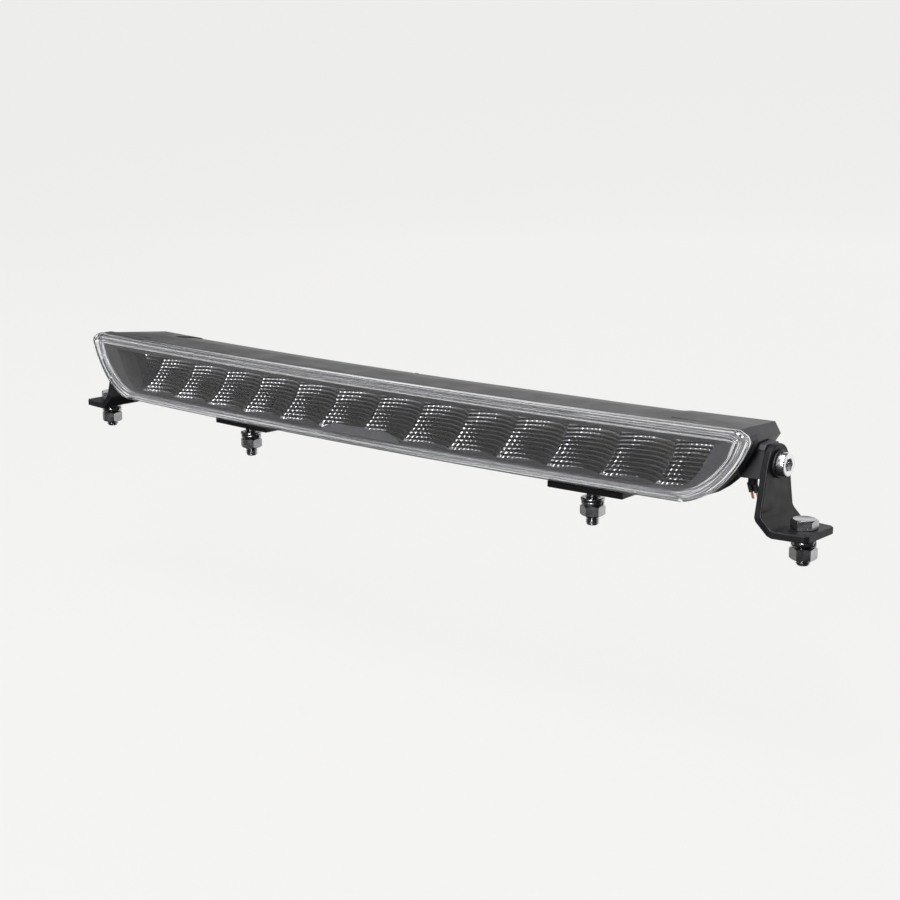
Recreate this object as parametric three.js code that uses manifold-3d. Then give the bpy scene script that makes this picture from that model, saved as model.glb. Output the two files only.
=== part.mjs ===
// LED light bar: a bowed, sealed lamp on two hinged end brackets and two sliding centre feet.
// Millimetres. +X runs along the bar, +Y to its back, +Z up. The light shines along -Y.
// "left" and "right" are as seen from in front: right is the +X end, where the cable leaves.
// The origin is in the plane that the end brackets rest on, midway between the two end bolts.

import * as THREE from "three";
import { ConvexGeometry } from "three/addons/geometries/ConvexGeometry.js";
import { mergeVertices } from "three/addons/utils/BufferGeometryUtils.js";
import Module from "manifold-3d";

// ---- driving dimensions -------------------------------------------------------------------

// The bar's front line is a shallow parabola: the middle bulges forward by about 12 mm.
const BOW = 1.7e-4;
const FACE_Y = -41.7;

// Lens: a clear pane with a thicker flange round it. Depths are behind the front line.
const LENS_WALL = 2.6;
const LENS_FLANGE = 4.3;

// Housing: its front rim and back, as distances behind the front line.
const RIM = 5.8;
const BACK = 56.5;
const BACK_TOP = 53.6;
const UNDERSIDE = 15.2;

// Light cells.
const CELLS = 14;
const CELL_PITCH = 35.2;
const FOCAL_LENGTH = 8.6;
const VERTEX = 34;
const CELL_AXIS_Z = 49.5;
const CELL_FLOOR = 22.3;

// End brackets: bent 4 mm plate.
const PLATE = 4;
const EAR_OUTER = 267.6;
const PIVOT_Z = 36.7;
const FOOT_END = 294.4;
const FOOT_HALF = 15;
const BEND_HALF = 17.3;
const END_BOLT_X = 284.3;

// Centre feet: sliders in a slot along the underside.
const SLIDER_X = 143.3;
const SLIDER_Y = 5.65;
const SLIDER_LOW = 1.4;
const SLIDER_LENGTH = 51.8;
const SLIDER_HALF = 9.4;
const SLOT_CENTRE = 43.9;
const SLOT_END = 216;

// M8 hardware.
const M8 = 4;
const NUT_ACROSS = 13;
const WASHER = 7.1;
const CLEARANCE = 0.3;

// ---- materials ----------------------------------------------------------------------------

const finish = (color, roughness, metalness) =>
  new THREE.MeshStandardMaterial({ color, roughness, metalness });

const LOOKS = {
  castBlack: () => finish(0x3a3a3d, 0.55, 0.3),
  steelBlack: () => finish(0x222224, 0.5, 0.4),
  greyPlastic: () => finish(0x4a4a4d, 0.6, 0),
  darkChrome: () => finish(0x2b2b2f, 0.15, 0.9),
  clear: () => finish(0xdde2e6, 0.05, 0),
  rubber: () => finish(0x151515, 0.8, 0),
  zinc: () => finish(0x9a9a9e, 0.3, 0.9),
  bright: () => finish(0xd8d8da, 0.12, 1),
  board: () => finish(0x1d4a2c, 0.6, 0),
  whiteBoard: () => finish(0xdedede, 0.5, 0.1),
  phosphor: () => finish(0xe8d24a, 0.4, 0),
  copper: () => finish(0xb4683e, 0.3, 0.9)
};

// ---- solids: conversion and booleans --------------------------------------------------------

const wasm = await Module();
wasm.setup();

function toSolid(geometry) {
  const bare = geometry.clone();
  bare.deleteAttribute("normal");
  bare.deleteAttribute("uv");
  const merged = mergeVertices(bare, 1e-4);
  const mesh = new wasm.Mesh({
    numProp: 3,
    vertProperties: merged.attributes.position.array,
    triVerts: Uint32Array.from(merged.index.array)
  });
  return new wasm.Manifold(mesh);
}

function toGeometry(solid) {
  const mesh = solid.getMesh();
  const geometry = new THREE.BufferGeometry();
  geometry.setAttribute("position", new THREE.BufferAttribute(mesh.vertProperties, 3));
  geometry.setIndex(new THREE.BufferAttribute(mesh.triVerts, 1));
  return geometry;
}

const join = (solids) => solids.reduce((whole, piece) => whole.add(piece));
const cut = (solid, tools) => tools.reduce((rest, tool) => rest.subtract(tool), solid);

// ---- solids: basic forms --------------------------------------------------------------------

// Where a prism's outline axes and its length axis go, for each direction of the length.
const ALONG = {
  x: new THREE.Matrix4().set(0, 0, 1, 0, 1, 0, 0, 0, 0, 1, 0, 0, 0, 0, 0, 1),
  y: new THREE.Matrix4().set(1, 0, 0, 0, 0, 0, -1, 0, 0, 1, 0, 0, 0, 0, 0, 1),
  z: new THREE.Matrix4()
};

function shapeOf(points) {
  return new THREE.Shape(points.map(([a, b]) => new THREE.Vector2(a, b)));
}

// The outline is in (y, z) along x, in (x, z) along y and in (x, y) along z.
function prismGeometry(shape, axis, low, high, steps = 1) {
  const depth = high - low;
  const options = { depth, steps, bevelEnabled: false, curveSegments: 8 };
  const geometry = new THREE.ExtrudeGeometry(shape, options);
  geometry.applyMatrix4(ALONG[axis]);
  const shift = { x: [low, 0, 0], y: [0, high, 0], z: [0, 0, low] }[axis];
  return geometry.translate(...shift);
}

const prism = (points, axis, low, high) => toSolid(prismGeometry(shapeOf(points), axis, low, high));

const bow = (x) => FACE_Y + BOW * x * x;

// A section in (distance behind the front line, z), swept along the bowed front line.
function sweep(section, low, high) {
  const steps = Math.max(1, Math.round((high - low) / 34));
  const geometry = prismGeometry(shapeOf(section), "x", low, high, steps);
  const at = geometry.attributes.position;
  for (let i = 0; i < at.count; i += 1) {
    at.setY(i, at.getY(i) + bow(at.getX(i)));
  }
  return toSolid(geometry);
}

const box = (a, b, c, d) => [[a, c], [b, c], [b, d], [a, d]];

const hull = (points) => toSolid(new ConvexGeometry(points.map((p) => new THREE.Vector3(...p))));

function circle(radius, centre = [0, 0], sides = 20) {
  return Array.from({ length: sides }, (_, i) => {
    const angle = (2 * Math.PI * (i + 0.5)) / sides;
    return [centre[0] + radius * Math.cos(angle), centre[1] + radius * Math.sin(angle)];
  });
}

const hexagon = (across, centre) => circle(across / Math.sqrt(3), centre, 6);

function disc(radius, axis, centre, low, high, sides = 20) {
  return prism(circle(radius, centre, sides), axis, low, high);
}

function washer(outer, inner, axis, centre, low, high) {
  return disc(outer, axis, centre, low, high).subtract(disc(inner, axis, centre, low - 1, high + 1));
}

// A washer with a gap cut in one side.
function splitWasher(outer, inner, axis, centre, low, high) {
  const [a, b] = centre;
  const gap = prism(box(a, a + outer + 1, b - 0.8, b + 0.8), axis, low - 1, high + 1);
  return washer(outer, inner, axis, centre, low, high).subtract(gap);
}

function rod(from, to, radius, sides) {
  const start = new THREE.Vector3(...from);
  const run = new THREE.Vector3(...to).sub(start);
  const geometry = new THREE.CylinderGeometry(radius, radius, run.length(), sides);
  geometry.translate(0, run.length() / 2, 0);
  const turn = new THREE.Quaternion().setFromUnitVectors(new THREE.Vector3(0, 1, 0), run.normalize());
  geometry.applyQuaternion(turn);
  geometry.translate(start.x, start.y, start.z);
  return toSolid(geometry);
}

// ---- the bar's outline ------------------------------------------------------------------------

// Half outlines in (x, z), from the top edge down to the bottom edge. The lens's is a long
// trapezoid with rounded lower corners, and the pane's is what the lens flange leaves open.
const LENS_EDGE = {
  corner: [[259, 58], [264, 55.2], [265.3, 52.5], [264.9, 50.4], [260.9, 42]],
  control: [247.5, 19],
  end: [228, 15.4]
};
const PANE_EDGE = {
  corner: [[253, 51.7], [256.5, 50.8], [253.8, 43.1]],
  control: [242, 24],
  end: [222, 19.9]
};

function outline({ corner, control, end }, inset = 0) {
  const path = new THREE.Path();
  path.moveTo(...corner[0]);
  corner.slice(1).forEach((point) => path.lineTo(...point));
  path.quadraticCurveTo(...control, ...end);
  const right = path.getPoints(6).map((p) => [p.x, p.y]);
  const left = right.map(([x, z]) => [-x, z]).reverse();
  return shrink([...right, ...left], inset);
}

// Moves every side of a clockwise outline inwards by the inset.
function shrink(points, inset) {
  const count = points.length;
  return points.map(([x, z], i) => {
    const [px, pz] = points[(i + count - 1) % count];
    const [nx, nz] = points[(i + 1) % count];
    const before = new THREE.Vector2(z - pz, px - x).normalize();
    const after = new THREE.Vector2(nz - z, x - nx).normalize();
    const middle = before.clone().add(after).normalize();
    const reach = inset / middle.dot(after);
    return [x + middle.x * reach, z + middle.y * reach];
  });
}

const slab = (front, back) => sweep(box(front, back, 0, 80), -280, 280);

function facePiece(edge, inset, front, back) {
  return slab(front, back).intersect(prism(outline(edge, inset), "y", -60, 60));
}

// ---- lens, gasket, bezel and badge -------------------------------------------------------------

const lens = facePiece(LENS_EDGE, 0, 0, LENS_FLANGE).subtract(
  facePiece(PANE_EDGE, 0, LENS_WALL, LENS_FLANGE + 1)
);

const gasket = facePiece(LENS_EDGE, 0.8, LENS_FLANGE + 0.2, RIM - 0.2).subtract(
  facePiece(PANE_EDGE, -1, 3, RIM + 1)
);

function mirrored(right) {
  return [...right, ...right.map(([x, z]) => [-x, z]).reverse()];
}

// The bezel's window, with a collar round it that reaches back to the cells.
const WINDOW = mirrored([[243.5, 48], [236, 34], [230.2, 26.5], [223, 21.6]]);
const COLLAR_BACK = 20;
const throughWindow = (inset) => prism(shrink(WINDOW, inset), "y", -60, 60);

function buildBezel() {
  const plate = facePiece(PANE_EDGE, 0.3, 4.8, 6.6);
  const collar = slab(4.8, COLLAR_BACK).intersect(throughWindow(-1.3)).intersect(bay(0.3));
  return plate.add(collar).subtract(throughWindow(0));
}

const badge = sweep(box(3, 4.2, 0, 80), -40, 40).intersect(
  prism(mirrored([[22, 26.5], [31, 23], [33, 20.4]]), "y", -60, 60)
);

// ---- reflectors and light board -----------------------------------------------------------------

// The room in the housing that holds the optics; the gap shrinks it on every side.
function bay(gap) {
  const section = [
    [RIM - 1.5, 52.6 - gap],
    [RIM - 1.5, 19.5 + gap],
    [20 - gap, 19.5 + gap],
    [31 - gap, 28.8 + gap],
    [38 - gap, 38 + gap],
    [38 - gap, 52.6 - gap]
  ];
  const deep = [
    [-248 + gap, 53],
    [-247 + gap, 42],
    [-240 + gap, 27],
    [240 - gap, 27],
    [247 - gap, 42],
    [248 - gap, 53]
  ];
  const frontPart = facePiece(PANE_EDGE, gap, RIM - 1.5, 21);
  const backPart = slab(20, 40).intersect(prism(deep, "y", -60, 60));
  return sweep(section, -260, 260).intersect(frontPart.add(backPart));
}

// The cell's reflecting face is the lower half of a paraboloid whose axis points forward.
function paraboloid(x) {
  const radii = [0, 6, 12, 17, 22, 27, 32];
  const rim = radii[radii.length - 1];
  const profile = radii.map((r) => new THREE.Vector2(r, (r * r) / (4 * FOCAL_LENGTH)));
  profile.push(new THREE.Vector2(0, (rim * rim) / (4 * FOCAL_LENGTH)));
  const geometry = new THREE.LatheGeometry(profile, 24);
  geometry.rotateX(Math.PI);
  return toSolid(geometry.translate(x, bow(x) + VERTEX, CELL_AXIS_Z));
}

const cellCentre = (index) => (index - (CELLS - 1) / 2) * CELL_PITCH;

function reflector(first, count) {
  const gap = 0.2;
  const low = cellCentre(first) - CELL_PITCH / 2 + gap;
  const high = cellCentre(first + count - 1) + CELL_PITCH / 2 - gap;
  const section = [[5.2, 49], [5.2, 21.9], [19, 21.9], [29, 29], [36, 40], [36, 49]];
  const clear = slab(0, COLLAR_BACK + 0.3).intersect(throughWindow(0.3));
  const room = bay(0.4).intersect(clear.add(slab(COLLAR_BACK + 0.3, 60)));
  const block = sweep(section, low, high).intersect(room);
  const aboveFloor = sweep(box(0, 50, CELL_FLOOR, 60), low - 1, high + 1);
  const cups = Array.from({ length: count }, (_, i) =>
    paraboloid(cellCentre(first + i)).intersect(aboveFloor)
  );
  return cut(block, cups);
}

const ledBoard = sweep(box(23, 36, 50.2, 51.8), -243, 243);

function ledChip(index) {
  const x = cellCentre(index);
  const y = bow(x) + VERTEX - FOCAL_LENGTH;
  return prism(box(x - 1.75, x + 1.75, y - 1.75, y + 1.75), "z", 49.3, 50.1);
}

const driverBoard = sweep(box(39.5, 41.1, 31.5, 48.5), -65, 65);

// ---- housing ------------------------------------------------------------------------------------

const MID_SECTION = [
  [RIM, 57.7],
  [RIM, UNDERSIDE],
  [23, UNDERSIDE],
  [BACK - 1, 19.4],
  [BACK, 20.5],
  [BACK, BACK_TOP - 1.2],
  [BACK - 1, BACK_TOP - 0.2],
  [46, 55.6],
  [35, 57.2],
  [25, 57.9],
  [14, 57.9]
];
const END_START = 212;
const BACK_END_Y = 24.9;
const RIM_END_Y = -19;

// The bar's end: a tapered upper lobe over a lower part that slants inwards to the bottom.
function housingEnd(side) {
  const place = (offset, z) => [side * END_START, bow(END_START) + offset, z];
  const lobe = [
    place(14, 57.9),
    place(25, 57.9),
    place(35, 57.2),
    place(46, 55.6),
    place(BACK - 1, BACK_TOP - 0.2),
    place(BACK, BACK_TOP - 1.2),
    place(BACK, 41),
    place(12, 41),
    [side * 257, RIM_END_Y, 57.4],
    [side * 261.5, RIM_END_Y, 49.2],
    [side * 258.5, RIM_END_Y, 42],
    [side * 250.4, BACK_END_Y - 0.5, BACK_TOP],
    [side * 254, BACK_END_Y, 47.3],
    [side * 249, BACK_END_Y, 39.7]
  ];
  const lower = [
    place(12, 45),
    place(12, UNDERSIDE),
    place(23, UNDERSIDE),
    place(BACK - 1, 19.4),
    place(BACK, 20.5),
    place(BACK, 45),
    [side * 258.5, RIM_END_Y, 42],
    [side * 254, RIM_END_Y, 32.5],
    [side * 251.2, -12, 28.3],
    [side * 245.8, -12, 23.6],
    [side * 239, -12, 19.2],
    [side * 231, RIM_END_Y, 16],
    [side * 229, -12, 16],
    [side * 246.2, BACK_END_Y, 42],
    [side * 245.5, BACK_END_Y, 39],
    [side * 230.3, BACK_END_Y, 22],
    [side * 222, BACK_END_Y, 19.8]
  ];
  return hull(lobe).add(hull(lower));
}

// The block that carries the bracket's pivot, with a flat underside for the cable gland.
const BOSS_FACE = EAR_OUTER - PLATE - CLEARANCE;
const BOSS_BOTTOM = PIVOT_Z - 8;

function pivotBoss(side) {
  const base = [[-15, BOSS_BOTTOM], [20, BOSS_BOTTOM], [20, 45], [10, 47], [-10, 47], [-15, 42]];
  const tip = [[-8, BOSS_BOTTOM], [10.5, BOSS_BOTTOM], [10.5, 41], [6, 47.2], [-6, 47.2], [-8, 45]];
  const points = base.map(([y, z]) => [side * 236, y, z]);
  points.push(...tip.map(([y, z]) => [side * BOSS_FACE, y, z]));
  return hull(points);
}

// A T-shaped slot along the underside, with a wide entry in the middle for the sliders.
const SLOT_ROOF = 26.5;
const SLOT_LIP = 21.5;
const SLOT_NECK_HALF = 7.2;
const SLOT_HEAD_HALF = 9.5;
const SLOT_ENTRY = 27;

function sliderSlot() {
  const neck = box(SLOT_CENTRE - SLOT_NECK_HALF, SLOT_CENTRE + SLOT_NECK_HALF, 5, SLOT_ROOF);
  const head = box(SLOT_CENTRE - SLOT_HEAD_HALF, SLOT_CENTRE + SLOT_HEAD_HALF, SLOT_LIP, SLOT_ROOF);
  const entry = box(SLOT_CENTRE - SLOT_HEAD_HALF, SLOT_CENTRE + SLOT_HEAD_HALF, 5, SLOT_ROOF);
  return [
    sweep(neck, -SLOT_END, SLOT_END),
    sweep(head, -SLOT_END, SLOT_END),
    sweep(entry, -SLOT_ENTRY, SLOT_ENTRY)
  ];
}

// Cooling fins: upright grooves in the back, between the slot and the upper lobe.
const FIN_PITCH = 12;
const GROOVE_HALF = 4.3;
const GROOVES_EACH_SIDE = 16;

function finGrooves() {
  const centres = [];
  for (let i = 0; i < GROOVES_EACH_SIDE; i += 1) {
    const x = 22 + FIN_PITCH * i;
    centres.push(-x, x);
  }
  return centres.map((x) => sweep(box(47, BACK + 2, 29, 42), x - GROOVE_HALF, x + GROOVE_HALF));
}

// The shallow sunk panel in the top.
function topPanel() {
  const section = [[30, 60], [30.4, 56.7], [46, 54.7], [BACK + 1, 52.4], [BACK + 1, 60]];
  return sweep(section, -208, 205);
}

const CABLE = [246.3, 10.3];
const VENT_Z = 47;

function cableRoom() {
  const pocket = prism(box(224, 249, 2.5, 13.5), "z", 31, 37);
  return [pocket, disc(3.5, "z", CABLE, 20, 32), disc(5.1, "z", CABLE, 10, BOSS_BOTTOM)];
}

function ventHole() {
  const back = FACE_Y + BACK;
  return [
    disc(3, "y", [0, VENT_Z], back - 20, back + 1),
    disc(7, "y", [0, VENT_Z], back - 3.5, back + 1)
  ];
}

const pivotHole = (side) => disc(M8 + CLEARANCE, "x", [0, PIVOT_Z], ...span(side, 247, 270));

// Two distances from the middle, in rising order on the given side.
function span(side, near, far) {
  return side > 0 ? [near, far] : [-far, -near];
}

function buildHousing() {
  const middle = sweep(MID_SECTION, -END_START - 1, END_START + 1);
  const rim = facePiece(LENS_EDGE, 0.2, RIM, RIM + 6);
  const ends = [-1, 1].flatMap((side) => [housingEnd(side), pivotBoss(side)]);
  const body = join([middle, rim, ...ends]).intersect(slab(RIM, 110));
  const boardRoom = sweep(box(37, 43, 30, 50), -70, 70);
  return cut(body, [
    bay(0),
    boardRoom,
    ...sliderSlot(),
    ...finGrooves(),
    topPanel(),
    ...cableRoom(),
    ...ventHole(),
    pivotHole(-1),
    pivotHole(1)
  ]);
}

const ventBack = FACE_Y + BACK;
const vent = disc(6, "y", [0, VENT_Z], ventBack - 3.2, ventBack - 0.4).add(
  disc(2.7, "y", [0, VENT_Z], ventBack - 12, ventBack - 3)
);

// ---- cable stub -----------------------------------------------------------------------------------

const gland = cut(
  disc(4.8, "z", CABLE, BOSS_BOTTOM - 4.7, BOSS_BOTTOM - 0.2).add(
    disc(3.2, "z", CABLE, BOSS_BOTTOM - 1, BOSS_BOTTOM + 2.2)
  ),
  [disc(2.9, "z", CABLE, 10, 40)]
);
const jacket = disc(2.7, "z", CABLE, 20.4, 33, 12);

const LEADS = [
  { start: [244.7, 10, 19.6], bend: [246.1, 9.7, 16], end: [247.5, 9.4, 12.4] },
  { start: [247.7, 10.5, 19.6], bend: [249, 10.5, 15.8], end: [250.2, 10.5, 12.2] }
];
const leadOf = ({ start, bend }) => rod(start, bend, 1.2, 10);

function copperOf({ bend, end }) {
  const run = new THREE.Vector3(...end).sub(new THREE.Vector3(...bend));
  const start = new THREE.Vector3(...bend).addScaledVector(run, 0.06);
  return rod(start.toArray(), end, 0.65, 8);
}

// ---- end brackets and their bolts -------------------------------------------------------------------

// Two bends, each a short run of flats on its outer side.
function bentStrip() {
  const inner = EAR_OUTER - PLATE;
  return [
    [EAR_OUTER, 60],
    [EAR_OUTER, 11.8],
    [EAR_OUTER + 0.9, 9.8],
    [273.6, 4.9],
    [275.8, PLATE],
    [FOOT_END, PLATE],
    [FOOT_END, 0],
    [274.4, 0],
    [271.6, 1],
    [inner + 0.9, 7.6],
    [inner, 9.8],
    [inner, 60]
  ];
}

// The ear narrows upwards from the bends to its rounded top.
function earOutline() {
  const topRadius = 10.9;
  const arc = [];
  for (let degrees = 12; degrees <= 168; degrees += 15.6) {
    const angle = THREE.MathUtils.degToRad(degrees);
    arc.push([topRadius * Math.cos(angle), PIVOT_Z + topRadius * Math.sin(angle)]);
  }
  const front = [[-11.4, 37], [-13.2, 29], [-15, 20], [-BEND_HALF, 10], [-BEND_HALF, -1]];
  const back = front.map(([y, z]) => [-y, z]).reverse();
  return [...arc, ...front, ...back];
}

function bracket(side) {
  const strip = bentStrip().map(([x, z]) => [side * x, z]);
  const bent = prism(strip, "y", -BEND_HALF, BEND_HALF);
  const ear = prism(earOutline(), "x", ...span(side, 260, 300));
  const corner = 2;
  const plan = [
    [side * 230, -BEND_HALF],
    [side * 273, -BEND_HALF],
    [side * (FOOT_END - corner), -FOOT_HALF],
    [side * FOOT_END, corner - FOOT_HALF],
    [side * FOOT_END, FOOT_HALF - corner],
    [side * (FOOT_END - corner), FOOT_HALF],
    [side * 273, BEND_HALF],
    [side * 230, BEND_HALF]
  ];
  return cut(bent.intersect(ear).intersect(prism(plan, "z", -1, 70)), [
    disc(M8 + CLEARANCE, "x", [0, PIVOT_Z], ...span(side, 260, 272)),
    disc(M8 + CLEARANCE, "z", [side * END_BOLT_X, 0], -1, PLATE + 1)
  ]);
}

const HEAD_SEAT = EAR_OUTER + 1.7;
const HEAD_HEIGHT = 4.3;

function pivotScrew(side) {
  const centre = [0, PIVOT_Z];
  const head = disc(6.5, "x", centre, ...span(side, HEAD_SEAT, HEAD_SEAT + HEAD_HEIGHT), 24);
  const shank = disc(M8 - 0.02, "x", centre, ...span(side, 248, HEAD_SEAT + 1));
  const socket = prism(hexagon(6, centre), "x", ...span(side, HEAD_SEAT + 1.5, HEAD_SEAT + HEAD_HEIGHT + 1));
  return head.add(shank).subtract(socket);
}

const pivotWasher = (side) =>
  washer(7.8, M8 + CLEARANCE, "x", [0, PIVOT_Z], ...span(side, EAR_OUTER + 0.15, HEAD_SEAT - 0.15));

function hexBolt(centre, headLow, headHigh, tip) {
  const head = prism(hexagon(NUT_ACROSS, centre), "z", headLow, headHigh);
  return head.add(disc(M8 - 0.02, "z", centre, tip, headLow + 1));
}

function nut(centre, low, high) {
  const bore = disc(M8 + 0.15, "z", centre, low - 1, high + 1);
  return prism(hexagon(NUT_ACROSS, centre), "z", low, high).subtract(bore);
}

// ---- centre feet ----------------------------------------------------------------------------------

// Built about its own centre; the T-shaped upper part runs in the housing's slot.
const SLOT_PLAY = 1.2;

function slider() {
  const neck = SLOT_NECK_HALF - SLOT_PLAY;
  const head = SLOT_HEAD_HALF - SLOT_PLAY;
  const plateTop = SLIDER_LOW + PLATE;
  const right = [
    [head, SLOT_ROOF - 0.5],
    [head, SLOT_LIP + 0.5],
    [neck, SLOT_LIP + 0.5],
    [neck, plateTop],
    [SLIDER_HALF, plateTop],
    [SLIDER_HALF, SLIDER_LOW]
  ];
  return prism(mirrored(right), "x", -SLIDER_LENGTH / 2, SLIDER_LENGTH / 2);
}

// ---- assembly ---------------------------------------------------------------------------------------

const bar = new THREE.Group();

function add(parent, name, solid, look) {
  const mesh = new THREE.Mesh(toGeometry(solid), LOOKS[look]());
  mesh.name = name;
  parent.add(mesh);
}

add(bar, "housing", buildHousing(), "castBlack");
add(bar, "lens", lens, "clear");
add(bar, "lens_gasket", gasket, "rubber");
add(bar, "bezel", buildBezel(), "greyPlastic");
add(bar, "badge_plate", badge, "greyPlastic");
add(bar, "reflector_left", reflector(0, CELLS / 2), "darkChrome");
add(bar, "reflector_right", reflector(CELLS / 2, CELLS / 2), "darkChrome");
add(bar, "led_board", ledBoard, "whiteBoard");
for (let i = 0; i < CELLS; i += 1) {
  add(bar, `led_${String(i + 1).padStart(2, "0")}`, ledChip(i), "phosphor");
}
add(bar, "driver_board", driverBoard, "board");
add(bar, "breather_vent", vent, "rubber");
add(bar, "cable_gland", gland, "rubber");
add(bar, "cable_jacket", jacket, "rubber");
LEADS.forEach((lead, i) => {
  add(bar, `lead_${i + 1}`, leadOf(lead), "rubber");
  add(bar, `lead_${i + 1}_copper`, copperOf(lead), "copper");
});

function addEnd(name, side) {
  const centre = [side * END_BOLT_X, 0];
  add(bar, `${name}_bracket`, bracket(side), "steelBlack");
  add(bar, `${name}_pivot_screw`, pivotScrew(side), "bright");
  add(bar, `${name}_pivot_washer`, pivotWasher(side), "steelBlack");
  add(bar, `${name}_foot_bolt`, hexBolt(centre, PLATE + 0.1, PLATE + 5.4, -16), "zinc");
  add(bar, `${name}_foot_washer`, washer(WASHER, M8 + CLEARANCE, "z", centre, -1.8, -0.2), "zinc");
  add(bar, `${name}_foot_spring_washer`, splitWasher(6.8, M8 + CLEARANCE, "z", centre, -5.6, -2), "zinc");
  add(bar, `${name}_foot_nut`, nut(centre, -12.6, -5.8), "zinc");
}

function addCentreFoot(name, side) {
  const foot = new THREE.Group();
  foot.position.set(side * SLIDER_X, SLIDER_Y, 0);
  foot.rotation.z = side * Math.atan(2 * BOW * SLIDER_X);
  const centre = [0, 0];
  const bore = disc(M8 + 0.15, "z", centre, -1, 16.5);
  add(foot, `${name}_slider`, slider().subtract(bore), "steelBlack");
  add(foot, `${name}_stud`, disc(M8 - 0.02, "z", centre, -19.1, 16), "zinc");
  const flat = washer(WASHER, M8 + CLEARANCE, "z", centre, -4.2, -2.6);
  const spring = splitWasher(6.8, M8 + CLEARANCE, "z", centre, -6.8, -4.4);
  add(foot, `${name}_slider_washer`, flat, "zinc");
  add(foot, `${name}_slider_spring_washer`, spring, "zinc");
  add(foot, `${name}_slider_nut`, nut(centre, -13.3, -7), "zinc");
  bar.add(foot);
}

for (const [name, side] of [["left", -1], ["right", 1]]) {
  addEnd(name, side);
  addCentreFoot(name, side);
}

export default bar;
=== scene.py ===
"""LED light bar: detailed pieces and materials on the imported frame.

Helpers take millimetres; the camera, the floor and the lights are in metres.
"""

from itertools import product
from math import atan, cos, pi, radians, sin, tan

import bmesh
import bpy
from mathutils import Matrix, Vector


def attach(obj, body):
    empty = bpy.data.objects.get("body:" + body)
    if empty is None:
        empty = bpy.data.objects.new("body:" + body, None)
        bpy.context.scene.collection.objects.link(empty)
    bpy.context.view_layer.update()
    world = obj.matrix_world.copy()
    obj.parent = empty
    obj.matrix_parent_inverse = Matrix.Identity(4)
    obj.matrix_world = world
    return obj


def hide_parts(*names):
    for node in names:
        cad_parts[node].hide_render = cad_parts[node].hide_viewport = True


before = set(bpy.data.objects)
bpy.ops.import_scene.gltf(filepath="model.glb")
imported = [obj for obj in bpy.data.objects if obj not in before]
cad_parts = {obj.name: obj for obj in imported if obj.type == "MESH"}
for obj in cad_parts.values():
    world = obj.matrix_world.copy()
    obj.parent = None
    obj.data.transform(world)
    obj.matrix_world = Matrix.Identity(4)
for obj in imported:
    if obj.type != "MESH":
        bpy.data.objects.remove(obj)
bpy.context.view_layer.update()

MM = 0.001
SIDES = {"left": -1, "right": 1}
LEAST_ROUGHNESS = 0.01


# ---- camera ---------------------------------------------------------------------------------


def make_camera():
    data = bpy.data.cameras.new("camera")
    data.sensor_width = 36.0
    data.lens = 70.8
    camera = bpy.data.objects.new("camera", data)
    camera.location = (0.724658, -0.810806, 0.246962)
    camera.rotation_euler = (radians(77.487), 0.0, radians(40.208))
    bpy.context.scene.collection.objects.link(camera)
    bpy.context.scene.camera = camera


make_camera()


# ---- materials ------------------------------------------------------------------------------


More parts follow.
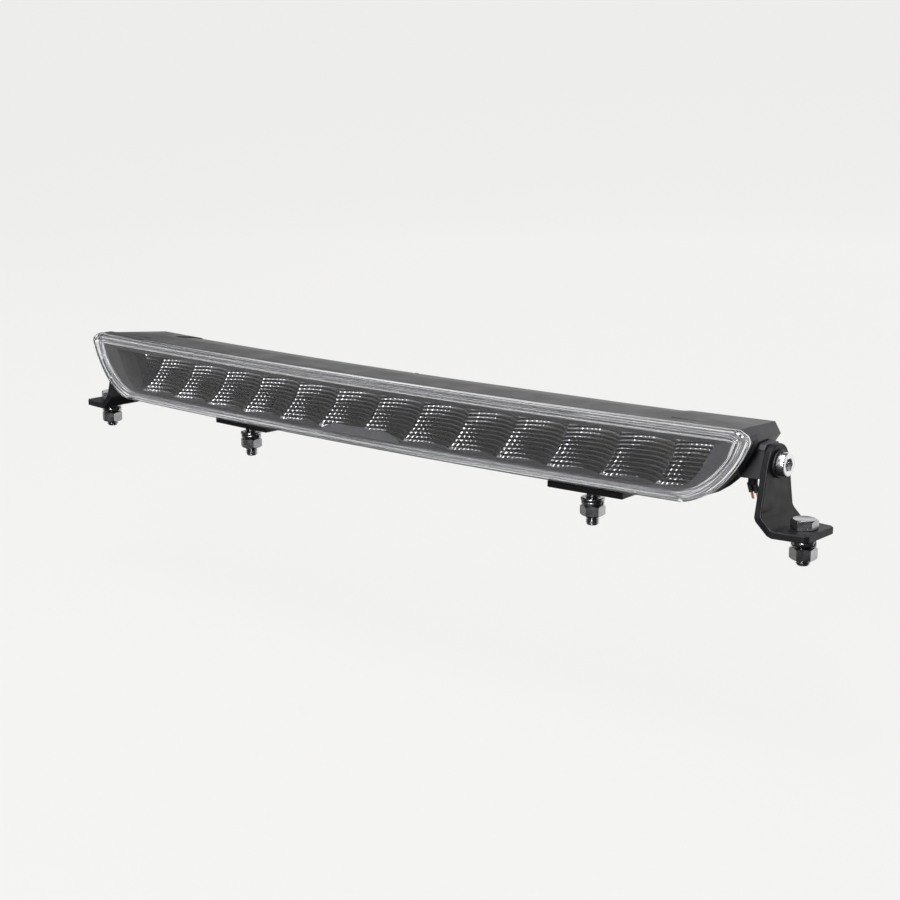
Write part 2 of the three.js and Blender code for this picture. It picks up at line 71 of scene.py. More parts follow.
class Finish:
    """A Principled material whose colour, roughness and relief come from procedural noise."""

    def __init__(self, name, color, roughness, metallic=0.0):
        self.name = name
        self.material = bpy.data.materials.new(f"{name}_finish")
        self.material.use_nodes = True
        self.nodes = self.material.node_tree.nodes
        self.shader = self.nodes["Principled BSDF"]
        self.shader.inputs["Base Color"].default_value = (*color, 1)
        self.shader.inputs["Roughness"].default_value = roughness
        self.shader.inputs["Metallic"].default_value = metallic
        self.color = color
        self.roughness = roughness
        self.height = None
        self.place = self.node("ShaderNodeTexCoord").outputs["Object"]

    def node(self, kind, **values):
        node = self.nodes.new(kind)
        for key, value in values.items():
            setattr(node, key, value)
        return node

    def link(self, source, target):
        self.material.node_tree.links.new(source, target)

    def noise(self, scale, detail, stretch=(1, 1, 1)):
        stretched = self.node("ShaderNodeMapping")
        stretched.inputs["Scale"].default_value = stretch
        self.link(self.place, stretched.inputs["Vector"])
        noise = self.node("ShaderNodeTexNoise")
        noise.inputs["Scale"].default_value = scale
        noise.inputs["Detail"].default_value = detail
        noise.inputs["Roughness"].default_value = 0.55
        self.link(stretched.outputs["Vector"], noise.inputs["Vector"])
        return noise.outputs["Fac"]

    def spread(self, source, low, high, start=0.3, end=0.7):
        remap = self.node("ShaderNodeMapRange")
        remap.inputs["From Min"].default_value = start
        remap.inputs["From Max"].default_value = end
        remap.inputs["To Min"].default_value = low
        remap.inputs["To Max"].default_value = high
        self.link(source, remap.inputs["Value"])
        return remap.outputs["Result"]

    def mottle(self, scale, amount):
        """Lighter and darker patches in the base colour."""
        mix = self.node("ShaderNodeMix", data_type="RGBA")
        low = [c * (1 - amount) for c in self.color]
        high = [min(1.0, c * (1 + amount)) for c in self.color]
        mix.inputs["A"].default_value = (*low, 1)
        mix.inputs["B"].default_value = (*high, 1)
        self.link(self.spread(self.noise(scale, 4), 0, 1), mix.inputs["Factor"])
        self.link(mix.outputs["Result"], self.shader.inputs["Base Color"])
        self.base = mix.outputs["Result"]
        return self

    def painted_edge_highlight(self, color, start, end, amount):
        """Painted highlight: a lighter colour along convex edges, between two values of the
        pointiness.
        """
        pointiness = self.node("ShaderNodeNewGeometry").outputs["Pointiness"]
        edge = self.spread(pointiness, 0, amount, start, end)
        mix = self.node("ShaderNodeMix", data_type="RGBA")
        self.link(edge, mix.inputs["Factor"])
        self.link(self.base, mix.inputs["A"])
        mix.inputs["B"].default_value = (*color, 1)
        self.link(mix.outputs["Result"], self.shader.inputs["Base Color"])
        return self

    def polish(self, scale, amount):
        """Patches of a smoother and a rougher surface."""
        low = max(self.roughness - amount, LEAST_ROUGHNESS)
        high = self.roughness + amount
        self.link(self.spread(self.noise(scale, 3), low, high), self.shader.inputs["Roughness"])
        return self

    def grain(self, scale, depth, strength, stretch=(1, 1, 1)):
        """Fine relief, with its depth in millimetres; layers add up."""
        bump = self.node("ShaderNodeBump")
        bump.inputs["Distance"].default_value = depth * MM
        bump.inputs["Strength"].default_value = strength
        self.link(self.noise(scale, 2, stretch), bump.inputs["Height"])
        if self.height is not None:
            self.link(self.height, bump.inputs["Normal"])
        self.height = bump.outputs["Normal"]
        self.link(self.height, self.shader.inputs["Normal"])
        return self

    def lets_lamps_through(self):
        """Shadow rays pass the glass, so that lamps light what is behind it."""
        clear = self.node("ShaderNodeBsdfTransparent")
        mix = self.node("ShaderNodeMixShader")
        self.link(self.node("ShaderNodeLightPath").outputs["Is Shadow Ray"], mix.inputs[0])
        self.link(self.shader.outputs["BSDF"], mix.inputs[1])
        self.link(clear.outputs["BSDF"], mix.inputs[2])
        self.link(mix.outputs["Shader"], self.nodes["Material Output"].inputs["Surface"])
        return self

    def set(self, **values):
        for name, value in values.items():
            self.shader.inputs[name.replace("_", " ")].default_value = value
        return self


def make_finishes():
    cast = Finish("cast_black", (0.015, 0.015, 0.0168), 0.46).mottle(38, 0.10).polish(55, 0.05)
    cast.grain(2600, 0.05, 0.35).grain(420, 0.06, 0.12)
    # painted highlight: a lighter grey along the housing's convex edges
    cast.painted_edge_highlight((0.06, 0.06, 0.064), 0.54, 0.66, 0.35)
    cast.set(Specular_IOR_Level=0.36)

    steel = Finish("bracket_black", (0.007, 0.007, 0.0085), 0.46).mottle(60, 0.12).polish(90, 0.06)
    # painted highlight: a lighter grey along the convex edges of the brackets, sliders and pivot rings
    steel.grain(1900, 0.04, 0.3).painted_edge_highlight((0.06, 0.06, 0.065), 0.55, 0.68, 0.3)
    steel.set(Specular_IOR_Level=0.34)

    mask = Finish("grey_mask", (0.012, 0.012, 0.0135), 0.55).mottle(45, 0.06).polish(70, 0.05)
    mask.grain(3800, 0.03, 0.4).set(Specular_IOR_Level=0.3)

    badge = Finish("badge_grey", (0.024, 0.024, 0.027), 0.5).mottle(45, 0.06).polish(70, 0.05)
    badge.grain(3800, 0.03, 0.3).set(Specular_IOR_Level=0.35)

    chrome = Finish("reflector_chrome", (0.33, 0.33, 0.342), 0.08, 1.0).mottle(30, 0.15)
    chrome.polish(120, 0.03)

    glass = Finish("lens_clear", (0.985, 0.99, 0.995), 0.012).polish(160, 0.004)
    glass.set(Transmission_Weight=1.0, IOR=1.5).lets_lamps_through()

    seal = Finish("grey_seal", (0.07, 0.07, 0.076), 0.5).mottle(90, 0.12).polish(80, 0.08)
    seal.grain(900, 0.05, 0.3)

    rubber = Finish("black_rubber", (0.012, 0.012, 0.013), 0.62).mottle(110, 0.25).polish(140, 0.08)
    rubber.grain(2200, 0.05, 0.4)

    zinc = Finish("zinc_steel", (0.40, 0.40, 0.41), 0.27, 1.0).mottle(120, 0.10).polish(200, 0.06)
    # painted highlight: near white along the convex edges of the zinc bolts, studs, nuts and washers
    zinc.grain(1500, 0.02, 0.25, (1, 1, 0.15)).painted_edge_highlight((0.8, 0.8, 0.8), 0.56, 0.7, 0.4)

    bright = Finish("bright_steel", (0.80, 0.80, 0.81), 0.27, 1.0).mottle(80, 0.05)
    bright.polish(260, 0.03).grain(1200, 0.01, 0.2, (0.1, 1, 1))

    copper = Finish("copper_wire", (0.86, 0.40, 0.26), 0.35, 0.45).mottle(300, 0.15)
    copper.polish(400, 0.08)

    white = Finish("white_board", (0.70, 0.70, 0.69), 0.42).mottle(60, 0.05).polish(60, 0.05)
    white.grain(900, 0.03, 0.2)

    green = Finish("green_board", (0.02, 0.09, 0.04), 0.35).mottle(140, 0.2).polish(90, 0.05)
    green.grain(600, 0.04, 0.25)

    yellow = Finish("led_phosphor", (0.85, 0.66, 0.12), 0.4).mottle(800, 0.12).polish(300, 0.05)
    yellow.grain(2500, 0.02, 0.3)

    moulded = (cast, steel, mask, badge, chrome, glass, seal, rubber)
    inner = (zinc, bright, copper, white, green, yellow)
    return {finish.name: finish.material for finish in moulded + inner}


LOOK = make_finishes()


# ---- pieces ---------------------------------------------------------------------------------


def piece(name, points, faces, look, body, nodes=(), sharp=35, slot=None):
    """A mesh piece from points in millimetres; it rides on the body and stands for the nodes."""
    mesh = bpy.data.meshes.new(name)
    mesh.from_pydata([(x * MM, y * MM, z * MM) for x, y, z in points], [], faces)
    mesh.validate()
    mesh.materials.append(LOOK[look])
    made = bpy.data.objects.new(name, mesh)
    bpy.context.scene.collection.objects.link(made)
    mesh.shade_smooth()
    mesh.set_sharp_from_angle(angle=radians(sharp))
    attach(made, body)
    if nodes:
        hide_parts(*nodes)
    return made


def skin(start, around, count, closed=False):
    """Quads between rings of points that follow one another; closed joins the last to the first."""
    faces = []
    for j in range(count if closed else count - 1):
        a, b = start + j * around, start + (j + 1) % count * around
        for k in range(around):
            after = (k + 1) % around
            faces.append((a + k, a + after, b + after, b + k))
    return faces


def weld_normals(made):
    """Joins points that coincide and turns every face outwards."""
    work = bmesh.new()
    work.from_mesh(made.data)
    bmesh.ops.remove_doubles(work, verts=work.verts, dist=1e-7)
    bmesh.ops.recalc_face_normals(work, faces=work.faces)
    work.to_mesh(made.data)
    work.free()
    return made


def softened(node, look, body, width, segments, sharp):
    """The node's own shape with its flat faces merged and its edges rounded."""
    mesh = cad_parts[node].data.copy()
    mesh.name = f"{node}_soft"
    work = bmesh.new()
    work.from_mesh(mesh)
    bmesh.ops.remove_doubles(work, verts=work.verts, dist=2e-6)
    bmesh.ops.dissolve_limit(work, angle_limit=radians(0.4), verts=work.verts, edges=work.edges)
    work.to_mesh(mesh)
    work.free()
    mesh.materials.clear()
    mesh.materials.append(LOOK[look])
    made = bpy.data.objects.new(f"{node}_body", mesh)
    bpy.context.scene.collection.objects.link(made)
    made.matrix_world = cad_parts[node].matrix_world.copy()
    mesh.shade_smooth()
    mesh.set_sharp_from_angle(angle=radians(sharp))
    bevel = made.modifiers.new("edge", "BEVEL")
    bevel.width = width * MM
    bevel.segments = segments
    bevel.limit_method = "ANGLE"
    bevel.angle_limit = radians(24)
    evened = made.modifiers.new("evened", "WEIGHTED_NORMAL")
    evened.keep_sharp = True
    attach(made, body)
    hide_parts(node)
    return made


# ---- the bowed front ------------------------------------------------------------------------


FRONT_Y = -41.7
BOW = 1.7e-4


def bow(x):
    """The front line seen from above: a shallow parabola."""
    return FRONT_Y + BOW * x * x


LENS_EDGE = {
    "corner": [(259, 58), (264, 55.2), (265.3, 52.5), (264.9, 50.4), (260.9, 42)],
    "control": (247.5, 19),
    "end": (228, 15.4),
}
PANE_EDGE = {
    "corner": [(253, 51.7), (256.5, 50.8), (253.8, 43.1)],
    "control": (242, 24),
    "end": (222, 19.9),
}
WINDOW = [(243.5, 48), (236, 34), (230.2, 26.5), (223, 21.6)]
COLUMNS = 140


def half_outline(edge, steps=20):
    """The corner's points and then a quadratic curve down to the bottom edge."""
    corner, control, end = edge["corner"], edge["control"], edge["end"]
    start = corner[-1]
    points = list(corner)
    for i in range(1, steps + 1):
        t = i / steps
        a, b, c = (1 - t) ** 2, 2 * t * (1 - t), t * t
        points.append(tuple(a * start[k] + b * control[k] + c * end[k] for k in (0, 1)))
    return points


def height_at(chain, x):
    """The height of a chain of points at x."""
    for (x0, z0), (x1, z1) in zip(chain, chain[1:]):
        if x <= x1:
            return z0 + (z1 - z0) * (x - x0) / max(x1 - x0, 1e-9)
    return chain[-1][1]


def loop(half):
    """The whole outline from its right half: along the top to the right, back along the bottom."""
    widest = max(range(len(half)), key=lambda i: half[i][0])
    upper = [(0, half[0][1])] + half[: widest + 1]
    lower = [(0, half[-1][1])] + half[widest:][::-1]
    reach = half[widest][0]
    shares = [sin(pi / 2 * (2 * i / COLUMNS - 1)) for i in range(COLUMNS + 1)]
    top = [(s * reach, height_at(upper, abs(s) * reach)) for s in shares]
    bottom = [(s * reach, height_at(lower, abs(s) * reach)) for s in shares[-2:0:-1]]
    return top + bottom


LENS_LOOP = loop(half_outline(LENS_EDGE))
PANE_LOOP = loop(half_outline(PANE_EDGE))
WINDOW_LOOP = loop(WINDOW)


def between(first, second, share):
    """A loop part of the way from one to the other."""
    return [
        (a + (c - a) * share, b + (d - b) * share) for (a, b), (c, d) in zip(first, second)
    ]


def at_depth(outline, depth):
    """A loop set back from the front line."""
    return [(x, bow(x) + depth, z) for x, z in outline]


def rungs(first):
    """Faces that fill a loop, from its top edge to its bottom edge."""
    faces = [(first, first + 1, first + 2 * COLUMNS - 1)]
    for i in range(1, COLUMNS - 1):
        low = first + 2 * COLUMNS - i
        faces.append((first + i, first + i + 1, low - 1, low))
    faces.append((first + COLUMNS - 1, first + COLUMNS, first + COLUMNS + 1))
    return faces


def loft(name, loops, look, body, nodes, capped, slot=None, sharp=35):
    """A skin over loops, closed by two caps or by joining the last loop to the first."""
    count = len(loops[0])
    points = [point for each in loops for point in each]
    faces = skin(0, count, len(loops), closed=not capped)
    if capped:
        faces += rungs(0) + rungs((len(loops) - 1) * count)
    return weld_normals(piece(name, points, faces, look, body, nodes, sharp, slot))


def build_lens():
    """A stepped rim round a plain pane; each step is (share from rim to pane, depth)."""
    front = [(1.02, 0.5), (1.0, 0.5), (0.95, 0.2), (0.74, 0.2), (0.69, 0.9), (0.61, 0.9)]
    front += [(0.56, 0.1), (0.42, 0.0), (0.37, 0.7), (0.27, 0.8), (0.22, 0.0), (0.07, 0.0)]
    front += [(0.02, 0.12), (0.0, 0.5)]
    back = [(0.0, 4.1), (0.03, 4.3), (0.24, 4.3), (0.28, 3.5), (0.40, 3.5), (0.44, 4.3)]
    back += [(0.66, 4.3), (0.70, 3.5), (0.82, 3.5), (0.86, 4.2), (0.94, 4.2), (1.0, 2.8)]
    back += [(1.02, 2.6)]
    steps = front + back
    loops = [at_depth(between(LENS_LOOP, PANE_LOOP, share), depth) for share, depth in steps]
    return loft("lens_pane", loops, "lens_clear", "bar", ["lens"], True, sharp=25)


RIB_X = (-200, -100, 0, 100, 200)
RIB_HEIGHTS = ((55.5, 56.6), (16.4, 17.2))
RIB_SECTIONS = ((0.85, 0.8, 0.0), (0.25, 0.8, 0.0), (0.05, 0.6, 0.2))


def build_tabs():
    """Small ribs across the rim's outer groove. A section is (depth, half width, inset)."""
    points, faces = [], []
    for x, (low, high) in product(RIB_X, RIB_HEIGHTS):
        start = len(points)
        for depth, half, inset in RIB_SECTIONS:
            y = bow(x) + depth
            left, right = x - half, x + half
            points += [(left, y, low + inset), (right, y, low + inset)]
            points += [(right, y, high - inset), (left, y, high - inset)]
        faces += skin(start, 4, len(RIB_SECTIONS))
        faces += [tuple(start + k for k in range(4)), tuple(start + 8 + k for k in range(4))]
    return weld_normals(piece("lens_rim_ribs", points, faces, "lens_clear", "bar"))


def build_gasket():
    section = [(0.12, 4.5), (0.98, 4.5), (0.98, 5.6), (0.12, 5.6)]
    loops = [at_depth(between(LENS_LOOP, PANE_LOOP, share), depth) for share, depth in section]
    return loft("lens_seal", loops, "grey_seal", "bar", ["lens_gasket"], False, "black_rubber")


def build_bezel():
    outer = between(PANE_LOOP, WINDOW_LOOP, 0.03)
    loops = [
        at_depth(outer, 6.5),
        at_depth(outer, 5.1),
        at_depth(between(PANE_LOOP, WINDOW_LOOP, 0.06), 4.9),
        at_depth(between(PANE_LOOP, WINDOW_LOOP, 0.95), 6.2),
        at_depth(between(PANE_LOOP, WINDOW_LOOP, 0.99), 6.4),
        at_depth(WINDOW_LOOP, 6.9),
        at_depth(WINDOW_LOOP, 19.4),
        at_depth(between(PANE_LOOP, WINDOW_LOOP, 0.97), 19.9),
        at_depth(between(PANE_LOOP, WINDOW_LOOP, 0.90), 19.9),
        at_depth(between(PANE_LOOP, WINDOW_LOOP, 0.90), 7.2),
    ]
    return loft("bezel_frame", loops, "grey_mask", "bar", ["bezel"], False, sharp=28)


def build_badge():
    half = [(22, 26.4), (31, 23.1), (32.8, 20.5)]
    face = loop(half)
    centre = [(0.0, 23.4)] * len(face)
    loops = [
        at_depth(face, 4.15),
        at_depth(face, 3.3),
        at_depth(between(face, centre, 0.03), 3.1),
        at_depth(between(face, centre, 0.12), 3.1),
        at_depth(between(face, centre, 0.16), 3.35),
    ]
    return loft("badge_blank", loops, "badge_grey", "bar", ["badge_plate"], True, "grey_mask", 20)


# ---- reflector cells ------------------------------------------------------------------------

CELLS = 14
CELL_PITCH = 35.2
VERTEX = 34.0
FOCAL = 8.6
AXIS_Z = 49.5
CELL_FLOOR = 22.3
CELL_TOP = 49.0
CELL_BACK = 35.9
FACET_COLUMNS = 18
FACET_ROWS = 13
FACET_STEPS = 4
FACET_RADIUS = 2.5
FACET_WIDE = CELL_PITCH / FACET_COLUMNS
FACET_HIGH = (CELL_TOP - CELL_FLOOR) / FACET_ROWS
DOME_HEIGHT = (FACET_WIDE * FACET_WIDE + FACET_HIGH * FACET_HIGH) / 8 / FACET_RADIUS
WALL_FRONT = 5.6
FLOOR_LIP = ((5.5, CELL_FLOOR), (5.2, CELL_FLOOR - 0.15), (5.2, 21.9))
WINDOW_GAP = 0.4


def cell_centre(index):
    return (index - (CELLS - 1) / 2) * CELL_PITCH


def bowl_depth(u, z):
    """A paraboloid, u to the right of the cell's middle."""
    return VERTEX - (u * u + (AXIS_Z - z) ** 2) / (4 * FOCAL)


def off_middle(distance, size):
    """How far a point is from the middle of its facet, half the size on every edge."""
    share = distance / size
    if abs(share - round(share)) < 1e-6:
        return size / 2
    return distance % size - size / 2


def facet_point(centre, u, z):
    """A point of the cell's wall: a paraboloid made of small domed facets."""
    du = off_middle(u + CELL_PITCH / 2, FACET_WIDE)
    dz = off_middle(z - CELL_FLOOR, FACET_HIGH)
    slope = Vector((-u / (2 * FOCAL), -1, (AXIS_Z - z) / (2 * FOCAL)))
    rise = DOME_HEIGHT - (du * du + dz * dz) / 2 / FACET_RADIUS
    x = centre + u
    base = Vector((x, bow(x) + bowl_depth(u, z), z))
    return base + slope.normalized() * rise


def window_reach(z):
    """Half the window's width at a height, less a small gap."""
    rising = [(high, wide) for wide, high in reversed(WINDOW)]
    return height_at([(0, WINDOW[-1][0])] + rising, z) - WINDOW_GAP


def strip(lower, upper, across):
    """Quads between two rows of points."""
    return [(lower + i, lower + i + 1, upper + i + 1, upper + i) for i in range(across)]


def build_reflector(name, cells):
    """Closed blocks, one for each cell: faceted wall, flat floor, and plain sides and back."""
    across = FACET_COLUMNS * FACET_STEPS
    up = FACET_ROWS * FACET_STEPS
    row = across + 1
    points, faces, grey = [], [], []
    for cell in cells:
        centre = cell_centre(cell)
        start = len(points)
        for j in range(up + 1):
            z = CELL_FLOOR + (CELL_TOP - CELL_FLOOR) * j / up
            for i in range(row):
                u = -CELL_PITCH / 2 + CELL_PITCH * i / across
                u = max(min(u, window_reach(z) - centre), -window_reach(z) - centre)
                point = facet_point(centre, u, z)
                point.y = max(point.y, bow(point.x) + WALL_FRONT)
                points.append(tuple(point))
        for depth, z in FLOOR_LIP:
            points += [(x, bow(x) + depth, z) for x, _, _ in points[start : start + row]]
        strips = [start + (up + 1 + k) * row for k in range(3)]
        for j in range(up):
            faces += strip(start + j * row, start + (j + 1) * row, across)
        floor = len(faces)
        for upper, lower in zip([start] + strips, strips):
            faces += strip(lower, upper, across)
        grey += range(floor, len(faces))
        rim = [strips[2] + i for i in range(row)]
        rim += [strips[1] + across, strips[0] + across]
        rim += [start + j * row + across for j in range(up + 1)]
        rim += [start + up * row + i for i in range(across - 1, -1, -1)]
        rim += [start + j * row for j in range(up - 1, -1, -1)] + [strips[0], strips[1]]
        back = len(points)
        points += [(points[k][0], bow(points[k][0]) + CELL_BACK, points[k][2]) for k in rim]
        around = len(rim)
        faces += [
            (rim[k], rim[(k + 1) % around], back + (k + 1) % around, back + k) for k in range(around)
        ]
        faces.append(tuple(back + k for k in range(around)))
    made = piece(name, points, faces, "reflector_chrome", "bar", [name], 18)
    made.data.materials.append(LOOK["grey_mask"])
    for index in grey:
        made.data.polygons[index].material_index = 1
    return weld_normals(made)


# ---- round and hexagonal pieces -------------------------------------------------------------


PIVOT_Z = 36.7
END_BOLT_X = 284.3
STUD_X = 143.3
STUD_Y = 5.65
HEX_ACROSS = 13
THREAD_RADIUS = 3.97


def hex_radius(across, angle):
    """The radius of a hexagon, across its flats, at an angle."""
    return across / 2 / cos((angle + pi / 6) % (pi / 3) - pi / 6)


def turned(name, rings, place, look, body, nodes=(), around=72, closed=False, sharp=35, slot=None):
    """A body of rings round an axis. A ring is (radius, height), or a function of the angle that
    gives them. place is the matrix that puts the axis, along +Z, where it belongs."""
    points, faces = [], []
    for ring in rings:
        for i in range(around):
            angle = 2 * pi * i / around
            radius, height = ring(angle) if callable(ring) else ring
            points.append(place @ Vector((radius * cos(angle), radius * sin(angle), height)))
    faces += skin(0, around, len(rings), closed)
    if not closed:
        for at, ring in ((0, rings[0]), (len(rings) - 1, rings[-1])):
            faces.append(tuple(at * around + i for i in range(around)))
    return weld_normals(piece(name, points, faces, look, body, nodes, sharp, slot))


def upright(x, y, angle=0.0):
    return Matrix.Translation((x, y, 0)) @ Matrix.Rotation(angle, 4, "Z")


def sideways(side):
    """The pivot axis, pointing outwards."""
    return Matrix.Translation((0, 0, PIVOT_Z)) @ Matrix.Rotation(side * pi / 2, 4, "Y")


def chamfered_hex(low, high, plain_below=False):
    """Rings of a hexagon whose corners are turned down to a cone, at the top and below."""
    flat = HEX_ACROSS / 2 * 0.955

    def corner(angle, edge, sign):
        radius = hex_radius(HEX_ACROSS, angle)
        return radius, edge + sign * (radius - flat) * tan(radians(32))

    rings = [(flat, low), lambda a: corner(a, low, 1)]
    if plain_below:
        rings = [lambda a: (hex_radius(HEX_ACROSS, a), low)]
    return rings + [lambda a: corner(a, high, -1), (flat, high)]


def thread(low, high, pitch=1.25, depth=0.62, run_in=0.35):
    """Rings of a threaded rod whose thread rises out of a chamfer over its lowest millimetre."""
    steps = int((high - low) / pitch * 8)
    core = THREAD_RADIUS - depth

    def groove(height):
        def ring(angle):
            phase = (height / pitch - angle / (2 * pi)) % 1
            ridge = max(0.0, 1 - abs(phase - 0.5) * 2.6)
            end = min(1.0, height - low)
            return core - run_in * (1 - end) + depth * ridge * end, height

        return ring

    length = high - low - run_in
    return [(core - 0.5, low)] + [groove(low + run_in + length * i / steps) for i in range(steps + 1)]


def build_nut(name, place, low, high, node, body):
    bore, lead_in, bevel = 4.15, 4.7, 0.5
    rings = [(bore, low + bevel), (lead_in, low)] + chamfered_hex(low, high)
    rings += [(lead_in, high), (bore, high - bevel)]
    return turned(name, rings, place, "zinc_steel", body, [node], closed=True, sharp=30)


def build_washer(name, place, low, high, node, body, outer=7.1, look="zinc_steel"):
    inner, edge = 4.3, 0.2
    rings = [(inner, low + edge), (inner + edge, low), (outer - edge, low), (outer, low + edge)]
    rings += [(outer, high - edge), (outer - edge, high), (inner + edge, high), (inner, high - edge)]
    return turned(name, rings, place, look, body, [node], closed=True, sharp=50)


def build_spring_washer(name, place, low, high, node, body):
    """A split ring of square wire, one end higher than the other."""
    inner, outer, soft = 4.35, 6.75, 0.25
    rise = (high - low) * 0.28
    thick = high - low - rise
    slant = 0.22
    steps = 64
    section = [(inner, soft), (inner + soft, 0), (outer - soft, 0), (outer, soft)]
    section += [(outer, thick - soft), (outer - soft, thick)]
    section += [(inner + soft, thick), (inner, thick - soft)]
    points, faces = [], []
    for i in range(steps + 1):
        share = i / steps
        angle = radians(8 + 344 * share)
        for radius, height in section:
            turn = angle + (height / thick - 0.5) * slant
            x, y = radius * cos(turn), radius * sin(turn)
            points.append(place @ Vector((x, y, low + rise * share + height)))
    count = len(section)
    faces += skin(0, count, steps + 1)
    faces += [tuple(range(count)), tuple(steps * count + k for k in range(count))]
    return weld_normals(piece(name, points, faces, "zinc_steel", body, [node], 50))


def build_end_bolt(side_name, place, body):
    tip, seat, flange, top = -16, 4.0, 4.35, 9.4
    head = [(THREAD_RADIUS, seat), (THREAD_RADIUS, seat + 0.15), (6.0, seat + 0.15), (6.0, flange)]
    head += chamfered_hex(flange, top, plain_below=True) + [(5.6, top), (5.2, top - 0.15)]
    name, node = f"{side_name}_end_bolt", f"{side_name}_foot_bolt"
    return turned(name, thread(tip, seat) + head, place, "zinc_steel", body, [node], sharp=30)


def build_stud(side_name, place, body):
    tip, top = -19.1, 15.9
    rings = thread(tip, top - 0.5) + [(3.3, top)]
    name, node = f"{side_name}_threaded_stud", f"{side_name}_stud"
    return turned(name, rings, place, "zinc_steel", body, [node], sharp=30)


def build_pivot_screw(side_name, side):
    """Socket head screw along X; the rings run from its tip to the bottom of its socket."""
    tip, seat, face, radius = 248.1, 269.3, 273.6, 6.5
    rings = [(3.3, tip), (THREAD_RADIUS, tip + 0.8), (THREAD_RADIUS, seat - 0.02)]
    rings += [(radius - 0.3, seat), (radius, seat + 0.3), (radius, face - 0.7)]
    rings += [(radius - 0.25, face - 0.25), (radius - 0.75, face)]
    rings += [
        lambda a: (hex_radius(6.9, a), face),
        lambda a: (hex_radius(6.2, a), face - 0.35),
        lambda a: (hex_radius(6.2, a), face - 2.75),
        (1.2, face - 3.0),
    ]
    name, node = f"{side_name}_socket_screw", f"{side_name}_pivot_screw"
    return turned(name, rings, sideways(side), "bright_steel", "bar", [node], sharp=30)


def build_pivot_washer(side_name, side):
    inside, outside = 267.75, 269.15
    name, node = f"{side_name}_pivot_ring", f"{side_name}_pivot_washer"
    look = "bracket_black"
    return build_washer(name, sideways(side), inside, outside, node, "bar", outer=7.8, look=look)


def build_hardware():
    """Both ends and both centre feet, with the heights that each washer and nut lies between."""
    for name, side in SIDES.items():
        end = upright(side * END_BOLT_X, 0)
        mount = f"{name}_end_mount"
        build_end_bolt(name, end, mount)
        build_washer(f"{name}_end_ring", end, -1.8, -0.2, f"{name}_foot_washer", mount)
        build_spring_washer(f"{name}_end_spring", end, -5.6, -2.0, f"{name}_foot_spring_washer", mount)
        build_nut(f"{name}_end_nut", end, -12.6, -5.8, f"{name}_foot_nut", mount)
        turn = side * atan(2 * BOW * STUD_X)
        stud = upright(side * STUD_X, STUD_Y, turn)
        foot = f"{name}_centre_foot"
        build_stud(name, stud, foot)
        build_washer(f"{name}_stud_ring", stud, -4.2, -2.6, f"{name}_slider_washer", foot)
        spring = f"{name}_slider_spring_washer"
        build_spring_washer(f"{name}_stud_spring", stud, -6.8, -4.4, spring, foot)
        build_nut(f"{name}_stud_nut", stud, -13.3, -7.0, f"{name}_slider_nut", foot)
        build_pivot_screw(name, side)
        build_pivot_washer(name, side)


# ---- cable stub -----------------------------------------------------------------------------


def tube(path, radius, around, points, faces):
    """Adds a tube along a path, closed at both ends."""
    start = len(points)
    for i, place in enumerate(path):
        here = Vector(place)
        back = Vector(path[max(i - 1, 0)])
        ahead = Vector(path[min(i + 1, len(path) - 1)])
        turn = (ahead - back).to_track_quat("Z", "Y").to_matrix()
        for k in range(around):
            angle = 2 * pi * k / around
            points.append(here + turn @ Vector((radius * cos(angle), radius * sin(angle), 0)))
    faces += skin(start, around, len(path))
    end = start + (len(path) - 1) * around
    faces += [tuple(start + k for k in range(around)), tuple(end + k for k in range(around))]


def straight(start, end, steps):
    a, b = Vector(start), Vector(end)
    return [tuple(a + (b - a) * i / steps) for i in range(steps + 1)]


CABLE_X = 246.3
CABLE_Y = 10.3
LEAD_RADIUS = 1.5
STRAND_RADIUS = 0.26
STRANDS = 7
STRAND_STEPS = 12
LEADS = [
    ((244.7, 10, 19.6), (246.1, 9.7, 16), (247.5, 9.4, 12.4)),
    ((247.7, 10.5, 19.6), (249, 10.5, 15.8), (250.2, 10.5, 12.2)),
]


def lead_strands(bend, end):
    """Points and faces of a lead's bare end: one strand with six twisted round it."""
    points, faces = [], []
    start, run = Vector(bend), Vector(end) - Vector(bend)
    turn = run.to_track_quat("Z", "Y").to_matrix()
    for strand in range(STRANDS):
        reach = 0.0 if strand == STRANDS - 1 else 0.5
        path = []
        for i in range(STRAND_STEPS + 1):
            share = 0.96 * i / STRAND_STEPS
            spin = 2 * pi * (strand / (STRANDS - 1) + 0.45 * share)
            shift = turn @ Vector((reach * cos(spin), reach * sin(spin), 0))
            path.append(tuple(start + run * share + shift))
        tube(path, STRAND_RADIUS, 8, points, faces)
    return points, faces


def build_cable():
    gland = upright(CABLE_X, CABLE_Y)
    rings = [(2.9, 24.3), (3.6, 24.0), (4.3, 24.2), (4.7, 25.2), (4.5, 25.5), (4.8, 25.8)]
    rings += [(4.8, 28.3), (4.6, 28.5), (3.2, 28.5), (3.2, 30.8), (2.9, 30.8)]
    turned("cable_boot", rings, gland, "black_rubber", "bar", ["cable_gland"], 48, True)
    jacket = [(2.0, 20.4), (2.5, 20.7), (2.7, 21.3), (2.7, 32.6), (2.4, 32.9)]
    turned("cable_sleeve", jacket, gland, "black_rubber", "bar", ["cable_jacket"], 36)
    for number, (start, bend, end) in enumerate(LEADS, 1):
        node = f"lead_{number}"
        points, faces = [], []
        inside_jacket = Vector(start) + Vector((-0.5, 0.1, 1.6))
        tube(straight(inside_jacket, bend, 8), LEAD_RADIUS, 20, points, faces)
        weld_normals(piece(f"lead_cover_{number}", points, faces, "black_rubber", "bar", [node]))
        bare = f"lead_strands_{number}"
        weld_normals(piece(bare, *lead_strands(bend, end), "copper_wire", "bar", [f"{node}_copper"]))


# ---- assembly -------------------------------------------------------------------------------

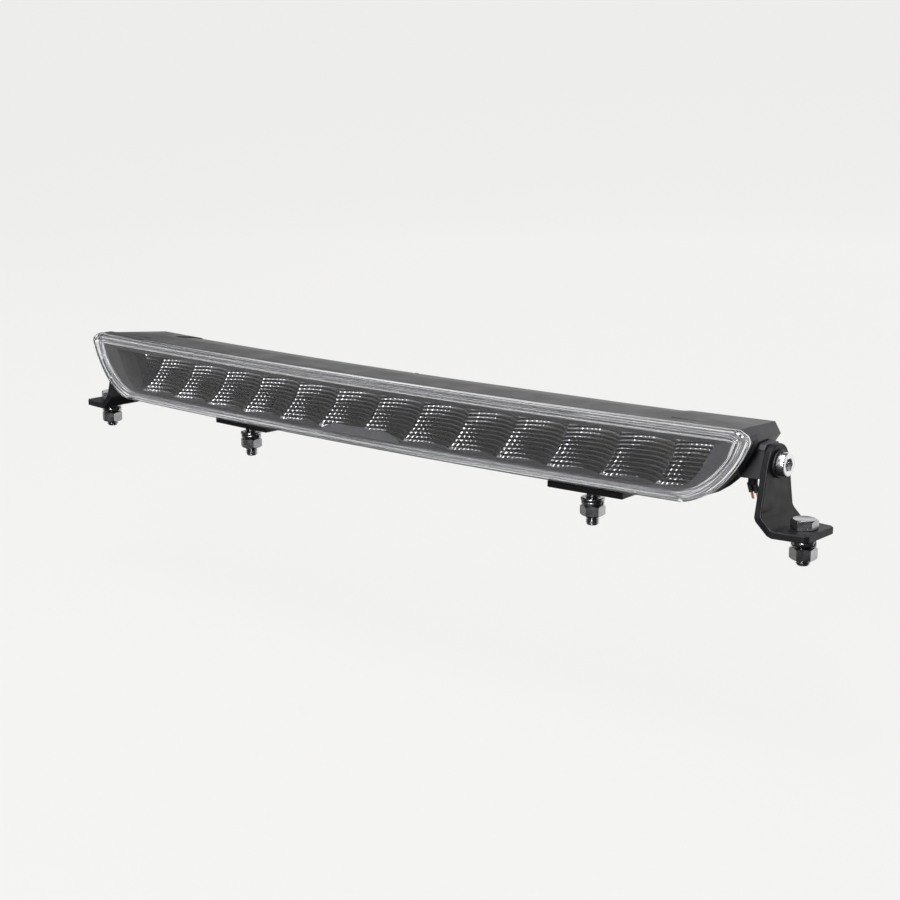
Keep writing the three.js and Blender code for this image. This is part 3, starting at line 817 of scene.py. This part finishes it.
build_lens()
build_tabs()
build_gasket()
build_bezel()
build_badge()
build_reflector("reflector_left", range(CELLS // 2))
build_reflector("reflector_right", range(CELLS // 2, CELLS))
build_hardware()
build_cable()
softened("housing", "cast_black", "bar", 1.1, 4, 40)
for side_name in SIDES:
    softened(f"{side_name}_bracket", "bracket_black", f"{side_name}_end_mount", 0.5, 3, 15)
    softened(f"{side_name}_slider", "bracket_black", f"{side_name}_centre_foot", 0.45, 2, 15)

CARRIED = {
    "led_board": "white_board",
    "driver_board": "green_board",
    "breather_vent": "black_rubber",
}
CARRIED.update({f"led_{i:02d}": "led_phosphor" for i in range(1, CELLS + 1)})
for node, look in CARRIED.items():
    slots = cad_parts[node].material_slots
    if len(slots):
        slots[0].material = LOOK[look]
    else:
        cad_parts[node].data.materials.append(LOOK[look])


# ---- floor and light ------------------------------------------------------------------------


FLOOR_Z = -0.12
FLOOR_RADIUS = 2.6
COVE = 1.6
WALL_TOP = 2.6
COVE_STEPS = 12


def build_floor():
    """A round pale floor that curves up into a low wall, in metres."""
    profile = [(FLOOR_RADIUS, 0.0)]
    for i in range(1, COVE_STEPS + 1):
        angle = pi / 2 * i / COVE_STEPS
        profile.append((FLOOR_RADIUS + COVE * sin(angle), COVE - COVE * cos(angle)))
    profile.append((FLOOR_RADIUS + COVE, WALL_TOP))
    around = 96
    points = [(0, 0, FLOOR_Z)]
    for radius, height in profile:
        for k in range(around):
            angle = 2 * pi * k / around
            points.append((radius * cos(angle), radius * sin(angle), height + FLOOR_Z))
    faces = [(0, 1 + k, 1 + (k + 1) % around) for k in range(around)]
    faces += [face[::-1] for face in skin(1, around, len(profile))]
    mesh = bpy.data.meshes.new("floor")
    mesh.from_pydata(points, [], faces)
    mesh.shade_smooth()
    paper = Finish("paper", (0.02, 0.02, 0.02), 0.9).mottle(3, 0.01).grain(400, 0.1, 0.1)
    paper.set(Emission_Color=(0.862, 0.858, 0.848, 1), Emission_Strength=0.97)
    mesh.materials.append(paper.material)
    floor = bpy.data.objects.new("floor", mesh)
    floor.visible_glossy = False
    floor.visible_diffuse = False
    floor.visible_shadow = False
    bpy.context.scene.collection.objects.link(floor)


def area_light(name, place, target, size, power, mirrored=True):
    """A softbox that the camera doesn't see; mirrored says whether glossy surfaces show it."""
    data = bpy.data.lights.new(name, "AREA")
    data.shape = "RECTANGLE"
    data.size, data.size_y = size
    data.energy = power
    lamp = bpy.data.objects.new(name, data)
    lamp.location = place
    aim = Vector(target) - Vector(place)
    lamp.rotation_euler = aim.to_track_quat("-Z", "Y").to_euler()
    lamp.visible_camera = False
    lamp.visible_glossy = mirrored
    lamp.visible_transmission = mirrored
    bpy.context.scene.collection.objects.link(lamp)


def build_light():
    """A dim world and hidden softboxes: place, target, size in metres, and power in watts."""
    world = bpy.data.worlds.new("world")
    world.use_nodes = True
    background = world.node_tree.nodes["Background"]
    background.inputs["Color"].default_value = (1, 1, 1, 1)
    background.inputs["Strength"].default_value = 0.03
    bpy.context.scene.world = world
    area_light("back", (0.5, 4.4, 0.4), (0.5, 0, 0.4), (12.0, 6.0), 230)
    area_light("left", (-2.2, 0.0, 0.0), (0, 0, 0.0), (2.0, 2.6), 5.5)
    area_light("upper_left", (-1.3, -0.5, 1.2), (0, 0, 0.05), (1.7, 1.5), 9)
    area_light("fill", (0.6, -2.0, 1.0), (0, 0, 0.03), (3.0, 2.0), 16, False)
    area_light("low_front", (0.5, -1.5, 0.55), (0, 0, 0.03), (0.26, 0.75), 20)
    area_light("high_front", (0.6, -1.0, 1.25), (0, 0, 0.03), (0.26, 0.75), 16)
    area_light("top", (0.05, -0.38, 1.6), (0, 0, 0.03), (0.26, 0.75), 15)


build_floor()
build_light()
bpy.context.scene.view_settings.view_transform = "Standard"
